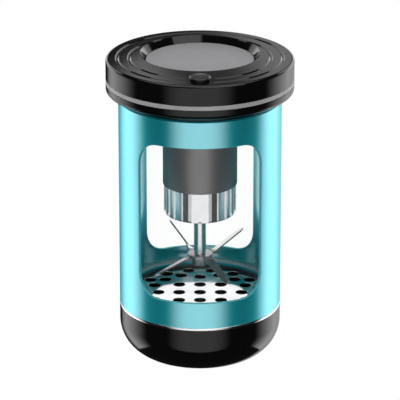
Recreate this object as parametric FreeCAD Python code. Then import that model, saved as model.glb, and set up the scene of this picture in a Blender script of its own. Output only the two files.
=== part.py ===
import FreeCAD, Part
import math
import os

# Cordless electric herb grinder: a motor head with hanging blades on a glass chamber in a
# windowed metal sleeve, over a sieve and a collecting cup. Millimetres, +Z up, and the origin
# is the centre of the face that the grinder stands on. The front, with the button, is -Y.

# ---- driving dimensions --------------------------------------------------------------------
# Heights of the outer stack, from the floor up.
BASE_TOP = 19.75            # top edge of the collecting cup's outside wall
RING_TOP = 20.65            # top of the bright ring, where the sleeve stands
SLEEVE_TOP = 100.55         # top of the sleeve, where the head rests
SKIRT_BOTTOM = 102.15       # underside of the head's flared skirt
SKIRT_EDGE = 104.20         # where the flare meets the straight side
TRIM_BOTTOM = 106.15        # silver band
TRIM_TOP = 107.81
LID_TOP = 115.35            # flat top of the head

# Outer radii.
SLEEVE_R = 30.0
RING_R = 30.1
LID_R = 34.5
NECK_R = 29.3
BASE_FILLET = 13.6
LID_FILLET = 1.2

# Sleeve and its two windows, front and rear.
SLEEVE_BORE = 28.9
SLEEVE_SEAT_BORE = 28.0     # lower bore that fits over the cup's collar
SLEEVE_LIP_R = 26.6         # lip under the glass
SLEEVE_LIP_BOTTOM = 23.9
SLEEVE_LIP_TOP = 24.7
SLEEVE_BEVEL = 0.5
WINDOW_BOTTOM = 30.65
WINDOW_TOP = 90.15
FRONT_WINDOW_HALF = 47.9    # half angles of the two windows, in degrees
REAR_WINDOW_HALF = 43.8
WINDOW_CORNER = 9.0
CORNER_STEPS = 6            # spans of the curve through each window corner
CUTTER_NEAR = 9.4           # the window's cutter starts and ends at these distances
CUTTER_FAR = 36.0
PAST = 1.0                  # how far a cut runs past the face that it goes through
TINY = 1e-6                 # shorter than this, an outline's edge is left out

# Glass chamber.
GLASS_R = 28.6
GLASS_BORE = 27.2
GASKET = 0.8
GASKET_GAP = 0.1
RETAINER = 2.15             # height of the ring that holds the glass down

# Collecting cup, foot, sieve and the ring that carries the sieve.
CUP_FLOOR = 2.6
CUP_BORE = 24.9
CUP_INNER_FILLET = 11.0
CUP_LIFT = 0.25             # the cup's shell stays this far above the floor
FOOT_R = 15.0
FOOT_HEIGHT = 1.0
CUP_COLLAR_R = 27.7         # cup's collar, which the sleeve fits over
CUP_COLLAR_TOP = 23.2
CUP_COLLAR_BORE = 26.4
CUP_COLLAR_FLOOR = 21.4     # bottom of the collar's bore, under the sieve's carrier
CARRIER_R = 26.2            # ring that carries the sieve, pushed into the sleeve from below
CARRIER_FLANGE_R = 27.95
CARRIER_FLANGE_BOTTOM = 23.3
CARRIER_BOTTOM = 21.5
CARRIER_BORE = 25.45
SIEVE_R = 25.4
SIEVE_TOP = 23.05
SIEVE_THICK = 0.6
SIEVE_HOLE_R = 2.25
SIEVE_GRID = 7.8            # pitch of the middle nine holes
SIEVE_MIDDLE_R = 18.6       # ring of sixteen, pulled in where it crosses the axes
SIEVE_AXIS_R = 15.6
SIEVE_OUTER_R = 22.6
SIEVE_RING_COUNT = 16

# O-rings: centre radius, section radius, height, and groove depth and height.
BASE_SEAL = (27.48, 0.45, 21.55)
BASE_GROOVE = (27.0, 21.0, 22.1)
HEAD_SEAL = (26.28, 0.85, 96.2)
HEAD_GROOVE = (25.40, 95.2, 97.2)

# Head shell.
WALL = 1.9
LID_BORE = LID_R - WALL
LID_PLATE = 1.6             # thickness of the top where it isn't recessed
TONGUE_R = 32.5
TONGUE_BORE = 31.3
TONGUE_BOTTOM = 105.3
RECESS_R = 22.1             # the recess narrows from here at the top to its foot
RECESS_FOOT_R = 20.15
RECESS_Y = 5.4              # the label recess sits towards the back
RECESS_FLOOR = 112.45
RECESS_SKIN = 1.0
LABEL_R = 19.85
LABEL_THICK = 0.6
GROOVES = ((25.2, 26.6), (29.6, 31.0))   # two shallow rings turned in the flat top
GROOVE_DEPTH = 0.35
PAN_OVERLAP = 0.1           # the pan under the recess reaches into the top by this much
BUTTON_LAND_R = 5.6         # the grooves stop short of the button

# Skirt: a plate inside the head with a spigot that plugs into the glass.
PLATE_TOP = 103.85
PLATE_HOLE_R = 9.0
LEAD_SLOT_WIDTH = 2.0       # slots in the plate for the motor's leads
LEAD_SLOT_REACH = 15.6
SPIGOT_R = 26.6
SPIGOT_BORE = 24.8
SPIGOT_BOTTOM = 92.8
SKIRT_FOOT_R = 31.3
FLARE_MIDDLE = (33.45, 102.725)   # point half way along the flare's convex arc

# Button and switch.
BUTTON_Y = -26.6
BUTTON_R = 3.9
BUTTON_HOLE_R = 4.05
BUTTON_DOME = 0.6
BUTTON_TOP = 116.85
BUTTON_FLANGE_R = 4.8
BUTTON_FLANGE = (112.9, 113.7)
STEM_R = 1.4
STEM_BOTTOM = 112.2
DOME_FOOT_R = 2.5           # rubber dome that lifts the button back
DOME_HEAD_R = 2.0
DOME_WALL = 0.4
SWITCH_SIDE = 5.2           # square body, with a bore for its plunger
SWITCH_TOP = 111.6
PLUNGER_R = 1.2
PLUNGER_BOTTOM = 111.0
PLUNGER_BORE_R = 1.25
PLUNGER_BORE_FLOOR = 110.3

# Electronics.
BOARD = (109.3, 110.1)      # underside and top of the circuit board
BOARD_R = 26.5
BOARD_TAB_HALF = 6.0
BOARD_FRONT = -30.6
BOARD_BACK = 31.6
BATTERY = (33.2, 26.0, 4.5)
BATTERY_BOTTOM = 104.05
BATTERY_FILLET = 1.2
PORT_WIDTH = 8.94
PORT_HEIGHT = 3.2
PORT_Z = 109.75
PORT_FRONT = 26.9
PORT_BACK = 34.1
PORT_WALL = 0.3
PORT_SLOT_GAP = 0.2
PORT_TONGUE_INSET = 1.2     # the contact tongue is this much smaller than the shell
LED_SIZE = (1.6, 0.8, 0.6)
LED_X = 7.0
LED_Y = -24.0
LEAD_BEND = 0.45            # share of the shorter run that a lead's bend takes up
BATTERY_LEAD_R = 0.6
BATTERY_LEAD_X = 3.0
BATTERY_LEAD_OUT = 2.6      # how far these leads stand off the cell's rear edge
MOTOR_LEAD_R = 0.48
MOTOR_LEAD_X = 5.0
MOTOR_LEAD_Y = (-5.5, -14.5)
MOTOR_LEAD_Z = 103.05
BOSS_R = 2.3
BOSS_RADIUS = 20.6          # distance of the head's screw bosses from the axis
BOSS_ANGLES = (22, 158, 202, 338)
BOSS_TOP = 114.5

# Motor nose and ribbed collar, hanging in the chamber.
NOSE_R = 13.75
NOSE_BORE = 12.3
NOSE_BOTTOM = 66.85
NOSE_FLOOR = 68.85
NOSE_FLANGE_R = 18.5
NOSE_FLANGE_BOTTOM = 100.65
NOSE_SPIGOT_R = 11.6
NOSE_SPIGOT_BORE = 10.2
NOSE_SPIGOT_BOTTOM = 62.85
RIB_R = 13.4                # crest of the collar's ribs
RIB_ROOT = 12.8
RIB_COUNT = 22
RIB_WIDTH = 1.1
RIBBED_BOTTOM = 55.05       # underside of the ribbed collar, and the floor of its bore
RIBBED_FLOOR = 57.05
RIBBED_ROUND = 1.8          # rounding of its lower edge
RIBBED_MARGIN = 0.1         # the rounded body stands this far outside the ribs
SEAT_R = 6.4
SEAT_BORE = 4.8
SEAT_TOP = 62.0
SEAL_TOP = 58.6
SHAFT_HOLE_R = 2.6

# Motor.
CAN_R = 12.2
CAN_BORE = 11.4
CAN_TOP = 97.5
CAN_FLOOR = 70.05
MOTOR_BOSS_R = 3.4
MOTOR_BOSS_BOTTOM = 67.4
END_CAP_TOP = 99.5
END_CAP_PLUG = 96.9
MAGNET = (9.6, 11.35, 74.0, 91.0)
MAGNET_ARC = 130
ARMATURE = (9.2, 76.0, 89.0)
ARMATURE_SLOT = 1.6
ARMATURE_CORE = 4.0
WINDING = (3.0, 8.2)
WINDING_LOW = (73.4, 76.0)
WINDING_HIGH = (89.0, 91.6)
COMMUTATOR = (2.8, 92.6, 96.6)
BRUSH = (3.6, 2.0, 2.0)
BRUSH_GAP = 0.05
BRUSH_Z = 94.0
HOLDER = (4.0, 8.6, 2.2, 93.4)

# Spindle.
MOTOR_SHAFT_R = 1.15
MOTOR_SHAFT = (64.6, 99.2)
BUSH_R = 2.6
RUNNING = 0.03              # radial clearance of a shaft in its bush
SEAL_CLEARANCE = 0.05
SHAFT_R = 2.25
SHAFT_TOP = 64.4
SHAFT_SHOULDER = 38.85
STUD_R = 1.5
STUD_BOTTOM = 34.6
COUPLING = (4.0, 62.4, 66.6)
SET_SCREW_R = 0.75
SET_SCREW_INSET = 1.05

# Blades: two stamped strips, crossed. Each has one arm bent up and one bent down.
# An arm is (azimuth, height of its tip, roll about its own length).
BLADE_THICK = 0.6
BLADE_WIDTH = 3.0
BLADE_TIP_WIDTH = 2.2
BLADE_REACH = 19.7
BLADE_HUB_R = 4.7
BLADE_ROOT_R = 3.4          # an arm starts inside the hub's disc
BLADE_BEND_R = 5.4          # it is flat out to here
BLADE_ROLLED_R = 8.4        # and has its full roll from here
UPPER_ARMS = ((125.0, 45.65, 52.0), (302.0, 33.45, 38.0))
LOWER_ARMS = ((36.0, 44.25, -12.0), (212.0, 33.85, 14.0))
UPPER_BLADE_TOP = 38.85
LOWER_BLADE_TOP = 38.20
WASHER_R = 3.7
WASHER_THICK = 0.6
NUT_FLATS_R = 2.7

# Small screws.
SCREW_R = 0.95
SCREW_CLEARANCE = 0.1
SCREW_HEAD_R = 1.75
SCREW_HEAD = 1.3
LID_SCREW_END = 109.0
NOSE_SCREW_RADIUS = 16.3
NOSE_SCREW_END = 103.6
NOSE_SCREW_ANGLES = (90, 210, 330)
MOTOR_SCREW_RADIUS = 7.6
MOTOR_SCREW_END = 69.9

UP = FreeCAD.Vector(0, 0, 1)
OUT = "parts"


# ---- helpers -------------------------------------------------------------------------------
def vec(x, y, z):
    return FreeCAD.Vector(x, y, z)


def rod(radius, low, high, x=0.0, y=0.0):
    """Upright cylinder between two heights."""
    return Part.makeCylinder(radius, high - low, vec(x, y, low), UP)


def tube(inner, outer, low, high, x=0.0, y=0.0):
    """Upright ring between two radii and two heights."""
    return rod(outer, low, high, x, y).cut(rod(inner, low, high, x, y))


def block(x0, x1, y0, y1, z0, z1):
    return Part.makeBox(x1 - x0, y1 - y0, z1 - z0, vec(x0, y0, z0))


def turned(steps):
    """Solid of revolution about Z. Steps are (r, z) corners, or (mid r, mid z, r, z) arcs."""
    edges = []
    start = vec(steps[0][0], 0, steps[0][1])
    here = start
    for step in list(steps[1:]) + [steps[0]]:
        there = vec(step[-2], 0, step[-1])
        if here.distanceToPoint(there) < TINY:
            continue
        if len(step) == 4:
            edges.append(Part.Arc(here, vec(step[0], 0, step[1]), there).toShape())
        else:
            edges.append(Part.LineSegment(here, there).toShape())
        here = there
    return Part.Face(Part.Wire(edges)).revolve(vec(0, 0, 0), UP, 360)


def fillet_step(centre_r, centre_z, radius, from_deg, to_deg):
    """Arc step of a turned profile about a centre, between two angles."""
    mid = math.radians((from_deg + to_deg) / 2)
    end = math.radians(to_deg)
    return (centre_r + radius * math.cos(mid), centre_z + radius * math.sin(mid),
            centre_r + radius * math.cos(end), centre_z + radius * math.sin(end))


def polar(radius, degrees):
    angle = math.radians(degrees)
    return radius * math.cos(angle), radius * math.sin(angle)


def o_ring(centre_r, section_r, height):
    return Part.makeTorus(centre_r, section_r, vec(0, 0, height), UP)


def screws(spots, head_bottom, shank_end):
    """Upward pan-head screws at the given spots, as separate solids."""
    head_top = head_bottom + SCREW_HEAD
    solids = []
    for x, y in spots:
        head = rod(SCREW_HEAD_R, head_bottom, head_top, x, y)
        solids.append(head.fuse(rod(SCREW_R, head_top, shank_end, x, y)).removeSplitter())
    return Part.makeCompound(solids)


def wire_run(points, radius):
    """Round wire through the points, with an arc of the wire's own reach at each corner."""
    edges = []
    here = points[0]
    for before, corner, after in zip(points, points[1:], points[2:]):
        into = (corner - before).normalize()
        out = (after - corner).normalize()
        setback = min((corner - before).Length, (after - corner).Length) * LEAD_BEND
        turn = into.getAngle(out)
        inward = (out - into).normalize()
        bend_r = setback / math.tan(turn / 2)
        start = corner - into * setback
        end = corner + out * setback
        middle = corner + inward * (bend_r / math.cos(turn / 2) - bend_r)
        edges.append(Part.LineSegment(here, start).toShape())
        edges.append(Part.Arc(start, middle, end).toShape())
        here = end
    edges.append(Part.LineSegment(here, points[-1]).toShape())
    section = Part.Wire(Part.makeCircle(radius, points[0], points[1] - points[0]))
    return Part.Wire(edges).makePipeShell([section], True, False)


def save(name, shape):
    shape.exportStep(os.path.join(OUT, name + ".step"))


# ---- cup and foot, and the sieve with its carrier ------------------------------------------
def base_cup():
    fillet_z = CUP_LIFT + BASE_FILLET
    inner_z = CUP_FLOOR + CUP_INNER_FILLET
    corner_r = SLEEVE_R - BASE_FILLET
    groove_r, groove_low, groove_high = BASE_GROOVE
    return turned([
        (0, FOOT_HEIGHT), (FOOT_R, FOOT_HEIGHT), (FOOT_R, CUP_LIFT), (corner_r, CUP_LIFT),
        fillet_step(corner_r, fillet_z, BASE_FILLET, -90, 0),
        (SLEEVE_R, BASE_TOP), (CUP_COLLAR_R, BASE_TOP),
        (CUP_COLLAR_R, groove_low), (groove_r, groove_low), (groove_r, groove_high),
        (CUP_COLLAR_R, groove_high), (CUP_COLLAR_R, CUP_COLLAR_TOP),
        (CUP_COLLAR_BORE, CUP_COLLAR_TOP), (CUP_COLLAR_BORE, CUP_COLLAR_FLOOR),
        (CUP_BORE, CUP_COLLAR_FLOOR), (CUP_BORE, inner_z),
        fillet_step(CUP_BORE - CUP_INNER_FILLET, inner_z, CUP_INNER_FILLET, 0, -90),
        (0, CUP_FLOOR),
    ])


def base_ring():
    return tube(CUP_COLLAR_R, RING_R, BASE_TOP, RING_TOP)


def sieve_carrier():
    """Ring with a ledge for the sieve and a flange that sits under the sleeve's lip."""
    sieve_seat = SIEVE_TOP - SIEVE_THICK
    return turned([
        (CUP_BORE, CARRIER_BOTTOM), (CARRIER_R, CARRIER_BOTTOM),
        (CARRIER_R, CARRIER_FLANGE_BOTTOM), (CARRIER_FLANGE_R, CARRIER_FLANGE_BOTTOM),
        (CARRIER_FLANGE_R, SLEEVE_LIP_BOTTOM), (CARRIER_BORE, SLEEVE_LIP_BOTTOM),
        (CARRIER_BORE, sieve_seat), (CUP_BORE, sieve_seat),
    ])


def sieve_hole_spots():
    """A middle grid of nine, a ring of sixteen around it, and sixteen staggered outside."""
    steps = (-1, 0, 1)
    spots = [(SIEVE_GRID * i, SIEVE_GRID * j) for i in steps for j in steps]
    pitch = 360.0 / SIEVE_RING_COUNT
    for k in range(SIEVE_RING_COUNT):
        on_axis = k % (SIEVE_RING_COUNT // 4) == 0
        spots.append(polar(SIEVE_AXIS_R if on_axis else SIEVE_MIDDLE_R, k * pitch))
        spots.append(polar(SIEVE_OUTER_R, (k + 0.5) * pitch))
    return spots


def sieve_plate():
    low = SIEVE_TOP - SIEVE_THICK
    plate = rod(SIEVE_R, low, SIEVE_TOP)
    holes = [rod(SIEVE_HOLE_R, low - PAST, SIEVE_TOP + PAST, x, y)
             for x, y in sieve_hole_spots()]
    return plate.cut(Part.makeCompound(holes))


def foot_pad():
    return rod(FOOT_R, 0, FOOT_HEIGHT)


# ---- chamber: sleeve, glass, gaskets, retaining ring ---------------------------------------
def window_wire(distance, half_angle):
    """Window outline on the plane Y = -distance, as seen from the axis with round corners."""
    half = math.radians(half_angle)
    corner = WINDOW_CORNER / SLEEVE_R
    span = 90 / CORNER_STEPS
    edges = []

    def spot(angle, height):
        return vec(distance * math.tan(angle), -distance, height)

    for side, level in ((1, -1), (1, 1), (-1, 1), (-1, -1)):
        edge_z = WINDOW_TOP if level > 0 else WINDOW_BOTTOM
        centre_angle = side * (half - corner)
        centre_z = edge_z - level * WINDOW_CORNER
        rising = side * level > 0
        arc = []
        for k in range(CORNER_STEPS + 1):
            turn = math.radians(span * k if rising else 90 - span * k)
            arc.append(spot(centre_angle + side * corner * math.cos(turn),
                            centre_z + level * WINDOW_CORNER * math.sin(turn)))
        curve = Part.BSplineCurve()
        curve.interpolate(arc)
        if edges:
            last = edges[-1].Vertexes[-1].Point
            edges.append(Part.LineSegment(last, arc[0]).toShape())
        edges.append(curve.toShape())
    edges.append(Part.LineSegment(edges[-1].Vertexes[-1].Point,
                                  edges[0].Vertexes[0].Point).toShape())
    return Part.Wire(edges)


def window_cutter(half_angle):
    """Wedge whose sides all run out from the axis."""
    wires = [window_wire(distance, half_angle) for distance in (CUTTER_NEAR, CUTTER_FAR)]
    return Part.makeLoft(wires, True, True)


def sleeve():
    body = turned([
        (SLEEVE_SEAT_BORE, RING_TOP), (SLEEVE_R, RING_TOP),
        (SLEEVE_R, SLEEVE_TOP - SLEEVE_BEVEL), (SLEEVE_R - SLEEVE_BEVEL, SLEEVE_TOP),
        (SLEEVE_BORE, SLEEVE_TOP), (SLEEVE_BORE, SLEEVE_LIP_TOP),
        (SLEEVE_LIP_R, SLEEVE_LIP_TOP), (SLEEVE_LIP_R, SLEEVE_LIP_BOTTOM),
        (SLEEVE_SEAT_BORE, SLEEVE_LIP_BOTTOM),
    ])
    front = window_cutter(FRONT_WINDOW_HALF)
    rear = window_cutter(REAR_WINDOW_HALF)
    rear.rotate(vec(0, 0, 0), UP, 180)
    return body.cut(front).cut(rear)


def lower_gasket():
    return tube(GLASS_BORE, SLEEVE_BORE - GASKET_GAP, SLEEVE_LIP_TOP, SLEEVE_LIP_TOP + GASKET)


def glass_chamber():
    low = SLEEVE_LIP_TOP + GASKET
    high = SLEEVE_TOP - RETAINER - GASKET
    return tube(GLASS_BORE, GLASS_R, low, high)


def upper_gasket():
    top = SLEEVE_TOP - RETAINER
    return tube(GLASS_BORE, SLEEVE_BORE - GASKET_GAP, top - GASKET, top)


def retaining_ring():
    return tube(GLASS_BORE, SLEEVE_BORE, SLEEVE_TOP - RETAINER, SLEEVE_TOP)


# ---- head: shell, band, skirt, label -------------------------------------------------------
def boss_spots():
    return [polar(BOSS_RADIUS, angle) for angle in BOSS_ANGLES]


def recess_cutter():
    """Bowl for the label, off centre, with a sloping wall."""
    shape = turned([
        (0, RECESS_FLOOR), (RECESS_FOOT_R, RECESS_FLOOR), (RECESS_R, LID_TOP),
        (RECESS_R, LID_TOP + PAST), (0, LID_TOP + PAST),
    ])
    shape.translate(vec(0, RECESS_Y, 0))
    return shape


def groove_cutter():
    rings = [tube(r0, r1, LID_TOP - GROOVE_DEPTH, LID_TOP + PAST) for r0, r1 in GROOVES]
    land = rod(BUTTON_LAND_R, TRIM_TOP, LID_TOP + 2 * PAST, 0, BUTTON_Y)
    return Part.makeCompound(rings).cut(land)


def stadium(half_w, half_h, front, back):
    """Round-ended bar along Y at the charging port's height."""
    flat = half_w - half_h
    bar = block(-flat, flat, front, back, PORT_Z - half_h, PORT_Z + half_h)
    for x in (-flat, flat):
        end = Part.makeCylinder(half_h, back - front, vec(x, front, PORT_Z), vec(0, 1, 0))
        bar = bar.fuse(end)
    return bar.removeSplitter()


def port_slot():
    """Round-ended slot through the shell's rear wall."""
    half_w = PORT_WIDTH / 2 + PORT_SLOT_GAP
    half_h = PORT_HEIGHT / 2 + PORT_SLOT_GAP
    return stadium(half_w, half_h, PORT_FRONT, LID_R + PAST)


def lid_shell():
    under = LID_TOP - LID_PLATE
    shell = turned([
        (TONGUE_BORE, TONGUE_BOTTOM), (TONGUE_R, TONGUE_BOTTOM), (TONGUE_R, TRIM_TOP),
        (LID_R, TRIM_TOP), (LID_R, LID_TOP - LID_FILLET),
        fillet_step(LID_R - LID_FILLET, LID_TOP - LID_FILLET, LID_FILLET, 0, 90),
        (0, LID_TOP), (0, under), (LID_BORE, under), (LID_BORE, TRIM_TOP + PAST),
        (TONGUE_BORE, TRIM_TOP),
    ])
    pan = rod(RECESS_R + LID_PLATE, RECESS_FLOOR - RECESS_SKIN, under + PAN_OVERLAP, 0, RECESS_Y)
    bosses = [rod(BOSS_R, PLATE_TOP, BOSS_TOP, x, y) for x, y in boss_spots()]
    shell = shell.multiFuse([pan.common(rod(LID_BORE, BOARD[1], LID_TOP))] + bosses)
    holes = [rod(SCREW_R, PLATE_TOP - PAST, LID_SCREW_END, x, y) for x, y in boss_spots()]
    button_hole = rod(BUTTON_HOLE_R, under - PAST, LID_TOP + PAST, 0, BUTTON_Y)
    cuts = [recess_cutter(), groove_cutter(), port_slot(), button_hole] + holes
    for cut in cuts:
        shell = shell.cut(cut)
    return shell.removeSplitter()


def lid_trim_ring():
    return tube(TONGUE_R, LID_R, TRIM_BOTTOM, TRIM_TOP)


def lid_skirt():
    groove_r, groove_low, groove_high = HEAD_GROOVE
    skirt = turned([
        (SPIGOT_BORE, SPIGOT_BOTTOM), (SPIGOT_R, SPIGOT_BOTTOM),
        (SPIGOT_R, groove_low), (groove_r, groove_low), (groove_r, groove_high),
        (SPIGOT_R, groove_high), (SPIGOT_R, SLEEVE_TOP), (NECK_R, SLEEVE_TOP),
        (NECK_R, SKIRT_BOTTOM), (SKIRT_FOOT_R, SKIRT_BOTTOM),
        (*FLARE_MIDDLE, LID_R, SKIRT_EDGE),
        (LID_R, TRIM_BOTTOM), (TONGUE_R, TRIM_BOTTOM), (TONGUE_R, TONGUE_BOTTOM),
        (TONGUE_BORE, PLATE_TOP), (PLATE_HOLE_R, PLATE_TOP), (PLATE_HOLE_R, SKIRT_BOTTOM),
        (SPIGOT_BORE, SKIRT_BOTTOM),
    ])
    clear_r = SCREW_R + SCREW_CLEARANCE
    half = LEAD_SLOT_WIDTH / 2
    for x in (-MOTOR_LEAD_X, MOTOR_LEAD_X):
        slot = block(x - half, x + half, -LEAD_SLOT_REACH, 0, SKIRT_BOTTOM, PLATE_TOP + PAST)
        skirt = skirt.cut(slot)
    for x, y in boss_spots():
        skirt = skirt.cut(rod(clear_r, SKIRT_BOTTOM - PAST, PLATE_TOP + PAST, x, y))
    for angle in NOSE_SCREW_ANGLES:
        x, y = polar(NOSE_SCREW_RADIUS, angle)
        skirt = skirt.cut(rod(SCREW_R, SKIRT_BOTTOM - PAST, NOSE_SCREW_END, x, y))
    return skirt


def label_disc():
    return rod(LABEL_R, RECESS_FLOOR, RECESS_FLOOR + LABEL_THICK, 0, RECESS_Y)


# ---- head: button and switch ---------------------------------------------------------------
def power_button():
    """Domed cap with a flange that keeps it in, and a stem down to the switch."""
    low, high = BUTTON_FLANGE
    rim_z = BUTTON_TOP - BUTTON_DOME
    dome_r = (BUTTON_R ** 2 + BUTTON_DOME ** 2) / (2 * BUTTON_DOME)
    rim_angle = math.degrees(math.acos(BUTTON_R / dome_r))
    button = turned([
        (0, STEM_BOTTOM), (STEM_R, STEM_BOTTOM), (STEM_R, low), (BUTTON_FLANGE_R, low),
        (BUTTON_FLANGE_R, high), (BUTTON_R, high), (BUTTON_R, rim_z),
        fillet_step(0, BUTTON_TOP - dome_r, dome_r, rim_angle, 90),
    ])
    button.translate(vec(0, BUTTON_Y, 0))
    return button


def return_dome():
    """Thin conical rubber wall between the switch and the button's flange."""
    head_z = BUTTON_FLANGE[0]
    dome = turned([
        (DOME_FOOT_R - DOME_WALL, SWITCH_TOP), (DOME_FOOT_R, SWITCH_TOP),
        (DOME_HEAD_R, head_z), (DOME_HEAD_R - DOME_WALL, head_z),
    ])
    dome.translate(vec(0, BUTTON_Y, 0))
    return dome


def tact_switch():
    half = SWITCH_SIDE / 2
    body = block(-half, half, BUTTON_Y - half, BUTTON_Y + half, BOARD[1], SWITCH_TOP)
    return body.cut(rod(PLUNGER_BORE_R, PLUNGER_BORE_FLOOR, SWITCH_TOP + PAST, 0, BUTTON_Y))


def switch_plunger():
    return rod(PLUNGER_R, PLUNGER_BOTTOM, STEM_BOTTOM, 0, BUTTON_Y)


# ---- head: electronics ---------------------------------------------------------------------
def circuit_board():
    low, high = BOARD
    board = rod(BOARD_R, low, high)
    board = board.fuse(block(-BOARD_TAB_HALF, BOARD_TAB_HALF, BOARD_FRONT, BOARD_BACK, low, high))
    for x, y in boss_spots():
        board = board.cut(rod(BOSS_R + SCREW_CLEARANCE, low - PAST, high + PAST, x, y))
    half = PORT_WIDTH / 2
    notch = block(-half, half, PORT_FRONT, BOARD_BACK + PAST, low - PAST, high + PAST)
    return board.cut(notch).removeSplitter()


def battery_cell():
    length, width, height = BATTERY
    cell = block(-length / 2, length / 2, -width / 2, width / 2,
                 BATTERY_BOTTOM, BATTERY_BOTTOM + height)
    upright = [edge for edge in cell.Edges if abs(edge.tangentAt(0).z) > 0.9]
    return cell.makeFillet(BATTERY_FILLET, upright)


def charging_port():
    """Socket shell, open to the back, with its contact tongue."""
    half_w = PORT_WIDTH / 2
    half_h = PORT_HEIGHT / 2
    shell = stadium(half_w, half_h, PORT_FRONT, PORT_BACK)
    shell = shell.cut(stadium(half_w - PORT_WALL, half_h - PORT_WALL,
                              PORT_FRONT + PORT_WALL, PORT_BACK + PAST))
    tongue_half = half_w - PORT_TONGUE_INSET
    tongue = block(-tongue_half, tongue_half, PORT_FRONT + PORT_WALL / 2,
                   PORT_BACK - PORT_TONGUE_INSET, PORT_Z - PORT_WALL, PORT_Z + PORT_WALL)
    return shell.fuse(tongue)


def charge_led():
    length, width, height = LED_SIZE
    return block(LED_X - length / 2, LED_X + length / 2, LED_Y, LED_Y + width,
                 BOARD[1], BOARD[1] + height)


def battery_leads():
    """Two short wires from the cell's rear edge up to the board."""
    solids = []
    edge_y = BATTERY[1] / 2
    rise_y = edge_y + BATTERY_LEAD_OUT
    level = BATTERY_BOTTOM + BATTERY[2] / 2
    for x in (-BATTERY_LEAD_X, BATTERY_LEAD_X):
        points = [vec(x, edge_y, level), vec(x, rise_y, level), vec(x, rise_y, BOARD[0])]
        solids.append(wire_run(points, BATTERY_LEAD_R))
    return Part.makeCompound(solids)


def motor_leads():
    """Two wires from the motor's end cap, under the cell in the plate's slots, to the board."""
    solids = []
    near_y, far_y = MOTOR_LEAD_Y
    for x in (-MOTOR_LEAD_X, MOTOR_LEAD_X):
        points = [vec(x, near_y, END_CAP_TOP), vec(x, near_y, MOTOR_LEAD_Z),
                  vec(x, far_y, MOTOR_LEAD_Z), vec(x, far_y, BOARD[0])]
        solids.append(wire_run(points, MOTOR_LEAD_R))
    return Part.makeCompound(solids)


def lid_screws():
    return screws(boss_spots(), SKIRT_BOTTOM - SCREW_HEAD, LID_SCREW_END)


# ---- head: nose, collar and motor ----------------------------------------------------------
def motor_nose():
    """Tube that holds the motor: flange above, floor and threaded spigot below."""
    nose = turned([
        (MOTOR_BOSS_R, NOSE_BOTTOM), (NOSE_SPIGOT_BORE, NOSE_BOTTOM),
        (NOSE_SPIGOT_BORE, NOSE_SPIGOT_BOTTOM), (NOSE_SPIGOT_R, NOSE_SPIGOT_BOTTOM),
        (NOSE_SPIGOT_R, NOSE_BOTTOM), (NOSE_R, NOSE_BOTTOM), (NOSE_R, NOSE_FLANGE_BOTTOM),
        (NOSE_FLANGE_R, NOSE_FLANGE_BOTTOM), (NOSE_FLANGE_R, SKIRT_BOTTOM),
        (NOSE_BORE, SKIRT_BOTTOM), (NOSE_BORE, NOSE_FLOOR), (MOTOR_BOSS_R, NOSE_FLOOR),
    ])
    for angle in NOSE_SCREW_ANGLES:
        x, y = polar(NOSE_SCREW_RADIUS, angle)
        nose = nose.cut(rod(SCREW_R, NOSE_FLANGE_BOTTOM - PAST, SKIRT_BOTTOM + PAST, x, y))
    for x in (-MOTOR_SCREW_RADIUS, MOTOR_SCREW_RADIUS):
        nose = nose.cut(rod(SCREW_R, NOSE_BOTTOM - PAST, NOSE_FLOOR + PAST, x))
    return nose


def nose_screws():
    spots = [polar(NOSE_SCREW_RADIUS, angle) for angle in NOSE_SCREW_ANGLES]
    return screws(spots, NOSE_FLANGE_BOTTOM - SCREW_HEAD, NOSE_SCREW_END)


def ribbed_collar():
    """Screw-on collar with flat facets between narrow upright ribs, rounded below."""
    height = NOSE_BOTTOM - RIBBED_BOTTOM
    pitch = 360.0 / RIB_COUNT
    corners = [polar(RIB_ROOT / math.cos(math.radians(pitch / 2)), -90 + k * pitch)
               for k in range(RIB_COUNT)]
    outline = Part.makePolygon([vec(x, y, RIBBED_BOTTOM) for x, y in corners + corners[:1]])
    collar = Part.Face(outline).extrude(vec(0, 0, height))
    for k in range(RIB_COUNT):
        rib = block(RIB_ROOT - PAST, RIB_R, -RIB_WIDTH / 2, RIB_WIDTH / 2,
                    RIBBED_BOTTOM, NOSE_BOTTOM)
        rib.rotate(vec(0, 0, 0), UP, -90 + k * pitch)
        collar = collar.fuse(rib)
    outer_r = RIB_R + RIBBED_MARGIN
    collar = collar.common(turned([
        (0, RIBBED_BOTTOM), (outer_r - RIBBED_ROUND, RIBBED_BOTTOM),
        fillet_step(outer_r - RIBBED_ROUND, RIBBED_BOTTOM + RIBBED_ROUND, RIBBED_ROUND, -90, 0),
        (outer_r, NOSE_BOTTOM), (0, NOSE_BOTTOM),
    ]))
    high = NOSE_BOTTOM + PAST
    collar = collar.cut(tube(SEAT_R, NOSE_SPIGOT_R, RIBBED_FLOOR, high))
    collar = collar.cut(rod(NOSE_SPIGOT_R, SEAT_TOP, high))
    collar = collar.cut(rod(SEAT_BORE, RIBBED_FLOOR, high))
    return collar.cut(rod(SHAFT_HOLE_R, RIBBED_BOTTOM - PAST, high))


def shaft_seal():
    return tube(SHAFT_R + SEAL_CLEARANCE, SEAT_BORE, RIBBED_FLOOR, SEAL_TOP)


def shaft_bush():
    return tube(SHAFT_R + RUNNING, SEAT_BORE, SEAL_TOP, SEAT_TOP)


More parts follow.
